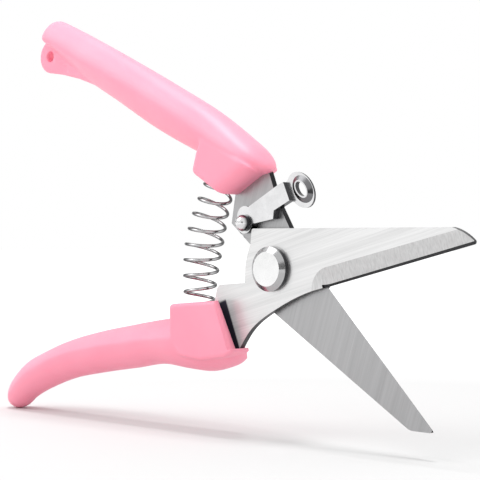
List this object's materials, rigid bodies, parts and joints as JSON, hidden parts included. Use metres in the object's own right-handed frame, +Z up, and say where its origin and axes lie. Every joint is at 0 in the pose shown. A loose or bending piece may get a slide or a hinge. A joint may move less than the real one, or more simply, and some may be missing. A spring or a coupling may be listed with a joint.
{
  "type": "floral snips",
  "caption": "Hand snips with lapping straight blades, soft pink grips, a compression spring that opens them and a swinging thumb catch.",
  "frame": {"origin": "centre of the flat front face of the pivot bolt's head, on the blades' turning axis", "axes": "+X from the pivot towards the blade tips, along the front blade's straight spine; +Y from the front of the snips to the back, along the pivot axis; +Z up, from the lower grip towards the upper grip, with the snips standing on edge and open"},
  "size_m": [0.1931, 0.0154, 0.1308],
  "materials": {
    "front_blade": "flat steel with fine lengthwise grinding lines",
    "rear_blade": "flat steel with fine grinding lines, a little darker",
    "grip_plastic": "satin moulded pink plastic",
    "pivot_steel": "bright turned steel",
    "nut_steel": "zinc-bright steel",
    "spring_steel": "polished spring wire",
    "catch_plate": "bright nickel plating",
    "rivet_steel": "bright steel"
  },
  "bodies": {
    "rear_half": {"rear_blade": "rear_blade", "upper_grip": "grip_plastic", "pivot_bolt": "pivot_steel", "pivot_washer": "nut_steel", "pivot_nut": "nut_steel", "return_spring": "spring_steel", "catch_rivet": "rivet_steel", "catch_flat_washer": "rivet_steel", "catch_spring_washer": "rivet_steel"},
    "front_half": {"front_blade": "front_blade", "lower_grip": "grip_plastic"},
    "catch": {"catch_lever": "catch_plate"}
  },
  "joints": [
    {"name": "blade_pivot", "type": "hinge", "parent": "rear_half", "child": "front_half", "pos_m": [0, 0, 0], "axis": [0, 1, 0], "range_deg": [0, 44], "stiffness_Nm_per_rad": 0.5, "springref_deg": -8.59, "deforming": ["return_spring"]},
    {"name": "latch_pivot", "type": "hinge", "parent": "rear_half", "child": "catch", "pos_m": [-0.0106, 0.003, 0.0134], "axis": [0, -1, 0], "range_deg": [-8, 10]}
  ]
}
